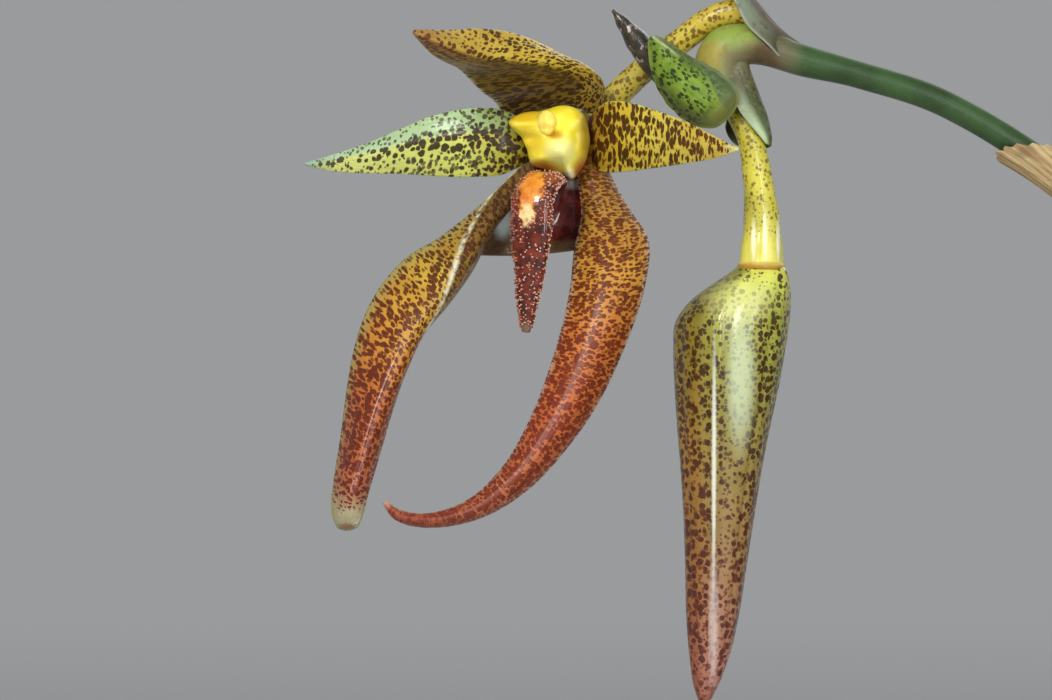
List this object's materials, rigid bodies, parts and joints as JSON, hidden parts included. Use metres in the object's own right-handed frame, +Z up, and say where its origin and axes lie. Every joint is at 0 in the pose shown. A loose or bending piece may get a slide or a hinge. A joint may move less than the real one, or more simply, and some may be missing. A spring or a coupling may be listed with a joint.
{
  "type": "potted orchid",
  "caption": "Flowering orchid in a clay pot: pseudobulbs with broad leaves and an arching stem that holds a star-shaped spotted flower and a long hanging bud.",
  "frame": {"origin": "centre of the pot's underside, on the surface that it stands on", "axes": "+Z up; the flowering stem leans out along -X; the flower is seen looking along +Y"},
  "size_m": [0.3759, 0.2073, 0.3733],
  "materials": {
    "clay": "unglazed terracotta",
    "bark": "rough bark chips",
    "rhizome": "woody stem and pale roots",
    "pseudobulb": "smooth fleshy green",
    "dry_sheath": "papery, fibrous",
    "leaf": "glossy leathery green",
    "scape": "smooth satin green",
    "bract": "satin green with dark spots",
    "spotted_stalk": "glossy yellow with brown spots",
    "spotted_petal": "waxy yellow with maroon spots",
    "brown_sepal": "waxy ochre with a red-brown net",
    "column": "waxy bright yellow",
    "lip": "warty, wet-looking red-brown",
    "young_bud": "glossy dark olive-brown",
    "bud": "glossy yellow-green to red-brown with dark spots"
  },
  "bodies": {
    "root": {"pot": "clay", "bark_mix": "bark", "rhizome": "rhizome", "pseudobulb_1": "pseudobulb", "pseudobulb_2": "pseudobulb", "pseudobulb_3": "pseudobulb", "pseudobulb_4": "pseudobulb", "pseudobulb_5": "pseudobulb", "bulb_sheath_1": "dry_sheath", "bulb_sheath_2": "dry_sheath", "bulb_sheath_3": "dry_sheath", "bulb_sheath_4": "dry_sheath", "bulb_sheath_5": "dry_sheath", "leaf_1": "leaf", "leaf_2": "leaf", "leaf_3": "leaf", "leaf_4": "leaf", "leaf_5": "leaf", "scape": "scape", "scape_sheath_1": "dry_sheath", "scape_sheath_2": "dry_sheath", "scape_sheath_3": "dry_sheath", "pedicel": "spotted_stalk", "column": "column", "anther_cap": "column", "lip": "lip", "dorsal_sepal": "spotted_petal", "petal_left": "spotted_petal", "petal_right": "spotted_petal", "lateral_sepal_left": "brown_sepal", "lateral_sepal_right": "brown_sepal", "flower_bract": "bract", "young_bract": "bract", "young_bud": "young_bud", "bud_bract": "bract", "bud_stalk": "spotted_stalk", "bud": "bud"}
  },
  "joints": []
}
